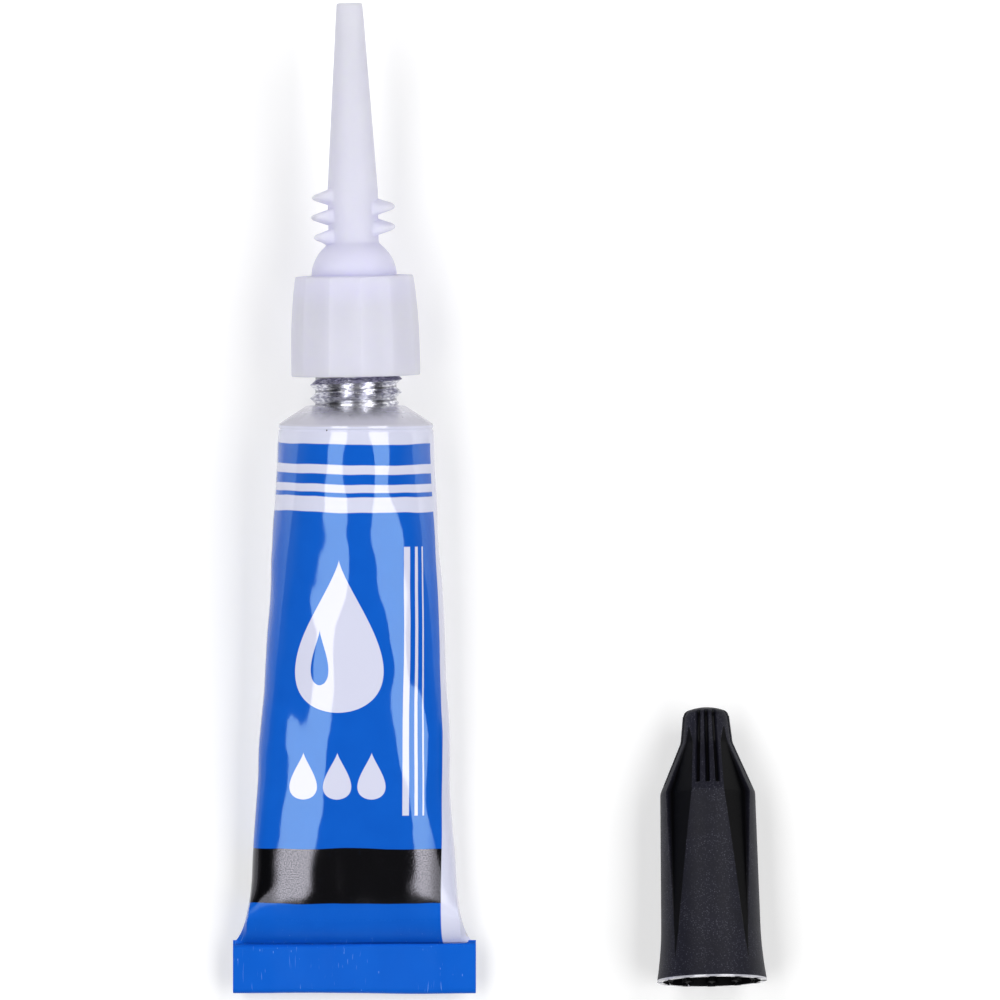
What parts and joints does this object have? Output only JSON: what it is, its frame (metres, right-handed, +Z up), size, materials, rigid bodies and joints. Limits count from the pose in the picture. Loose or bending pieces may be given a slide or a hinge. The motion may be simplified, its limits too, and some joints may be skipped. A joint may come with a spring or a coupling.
{
  "type": "tube of super glue",
  "caption": "Small collapsible aluminium glue tube with a folded end and a screw-on tapered plastic nozzle, lying beside its winged black cap.",
  "frame": {"origin": "on the surface that the tube and the cap lie on, under the middle of the pair's box", "axes": "+Z up, +Y along the tube from its folded end towards the spout, +X from the tube towards the cap"},
  "size_m": [0.0466, 0.0862, 0.0134],
  "materials": {
    "printed_aluminium": "gloss",
    "bare_aluminium": "satin",
    "clear_adhesive": "gloss",
    "latex": "matte",
    "natural_polyethylene": "satin",
    "black_plastic": "matte"
  },
  "bodies": {
    "tube": {"tube_body": "printed_aluminium", "neck_membrane": "bare_aluminium", "adhesive": "clear_adhesive", "end_sealant": "latex"},
    "nozzle": {"nozzle": "natural_polyethylene"},
    "cap": {"cap": "black_plastic"}
  },
  "joints": [
    {"name": "nozzle_screw", "type": "slide", "parent": "tube", "child": "nozzle", "axis": [0, 0.9954, 0.0957], "range_m": [-0.0023, 0.01], "deforming": ["neck_membrane"]},
    {"name": "cap_lift", "type": "slide", "parent": "tube", "child": "cap", "axis": [0, 0, 1], "range_m": [0, 0.05]}
  ]
}
